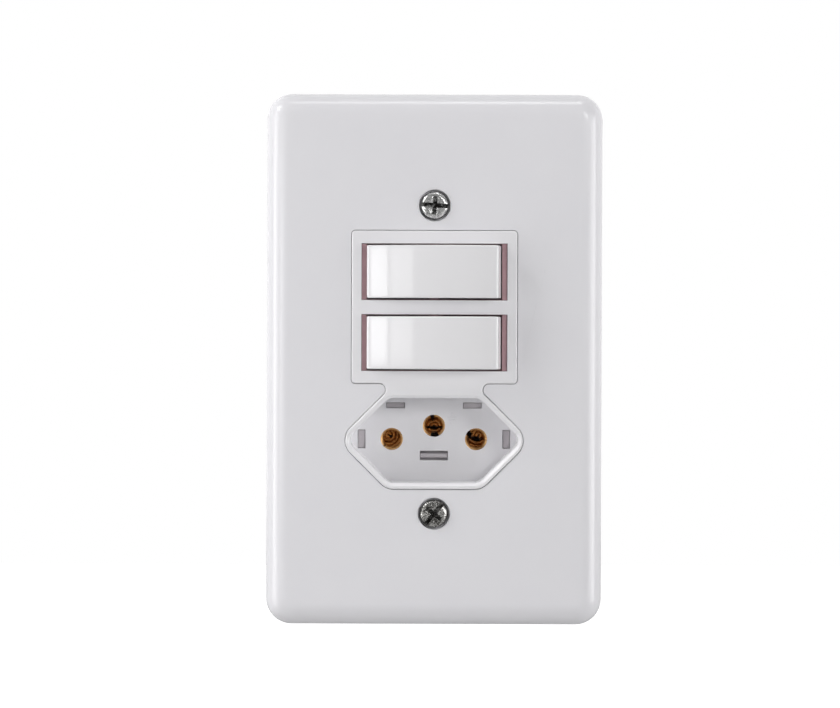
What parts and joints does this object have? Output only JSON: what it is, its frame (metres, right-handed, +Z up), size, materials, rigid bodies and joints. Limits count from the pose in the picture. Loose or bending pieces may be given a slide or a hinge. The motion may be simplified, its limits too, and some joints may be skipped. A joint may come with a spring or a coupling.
{
  "type": "switch and socket combination",
  "caption": "White wall plate with wide rocker switches above a recessed hexagonal socket for a plug with round pins, on a steel yoke.",
  "frame": {"origin": "centre of the plate on the wall plane, midway between the two box screws", "axes": "+Z up along the plate's long side, +Y into the wall, +X to the right seen from the room"},
  "size_m": [0.075, 0.0349, 0.1186],
  "materials": {
    "white_gloss_plastic": "gloss",
    "red_brown_plastic": "satin",
    "pale_grey_plastic": "satin",
    "plated_steel": "satin",
    "plated_screw": "worn plating",
    "plunger_plastic": "satin",
    "spring_steel": "satin",
    "brass": "satin"
  },
  "bodies": {
    "housing": {"wall_plate": "white_gloss_plastic", "module_fascia": "white_gloss_plastic", "switch_chassis": "red_brown_plastic", "module_base": "pale_grey_plastic", "mounting_yoke": "plated_steel", "cover_screw_upper": "plated_screw", "cover_screw_lower": "plated_screw", "common_terminal_upper": "brass", "common_terminal_lower": "brass", "fixed_contact_upper": "brass", "fixed_contact_lower": "brass", "socket_contact_line": "brass", "socket_contact_neutral": "brass", "socket_contact_earth": "brass", "module_screw_1": "plated_screw", "module_screw_2": "plated_screw", "module_screw_3": "plated_screw", "module_screw_4": "plated_screw", "socket_terminal_screw_line": "plated_screw", "socket_terminal_screw_neutral": "plated_screw", "socket_terminal_screw_earth": "plated_screw", "common_terminal_screw_upper": "plated_screw", "common_terminal_screw_lower": "plated_screw", "fixed_terminal_screw_upper": "plated_screw", "fixed_terminal_screw_lower": "plated_screw"},
    "rocker_upper": {"rocker_upper": "white_gloss_plastic", "plunger_spring_upper": "spring_steel"},
    "plunger_upper": {"plunger_upper": "plunger_plastic"},
    "contact_blade_upper": {"contact_blade_upper": "brass"},
    "rocker_lower": {"rocker_lower": "white_gloss_plastic", "plunger_spring_lower": "spring_steel"},
    "plunger_lower": {"plunger_lower": "plunger_plastic"},
    "contact_blade_lower": {"contact_blade_lower": "brass"}
  },
  "joints": [
    {"name": "rocker_upper_tilt", "type": "hinge", "parent": "housing", "child": "rocker_upper", "pos_m": [0, -0.0052, 0.0195], "axis": [0, 0, 1], "range_deg": [0, 10]},
    {"name": "contact_blade_upper_rock", "type": "hinge", "parent": "housing", "child": "contact_blade_upper", "pos_m": [0, 0.005, 0.0195], "axis": [0, 0, 1], "range_deg": [-12, 0]},
    {"name": "plunger_upper_slide", "type": "slide", "parent": "rocker_upper", "child": "plunger_upper", "axis": [-0.0872, -0.9962, 0], "range_m": [0, 0.0006], "stiffness_N_per_m": 400, "springref_m": -0.002, "deforming": ["plunger_spring_upper"]},
    {"name": "rocker_lower_tilt", "type": "hinge", "parent": "housing", "child": "rocker_lower", "pos_m": [0, -0.0052, 0.00375], "axis": [0, 0, 1], "range_deg": [0, 10]},
    {"name": "contact_blade_lower_rock", "type": "hinge", "parent": "housing", "child": "contact_blade_lower", "pos_m": [0, 0.005, 0.00375], "axis": [0, 0, 1], "range_deg": [-12, 0]},
    {"name": "plunger_lower_slide", "type": "slide", "parent": "rocker_lower", "child": "plunger_lower", "axis": [-0.0872, -0.9962, 0], "range_m": [0, 0.0006], "stiffness_N_per_m": 400, "springref_m": -0.002, "deforming": ["plunger_spring_lower"]}
  ],
  "couplings": [
    {"joint": "contact_blade_upper_rock", "follows": "rocker_upper_tilt", "ratio": -1.2},
    {"joint": "contact_blade_lower_rock", "follows": "rocker_lower_tilt", "ratio": -1.2}
  ]
}
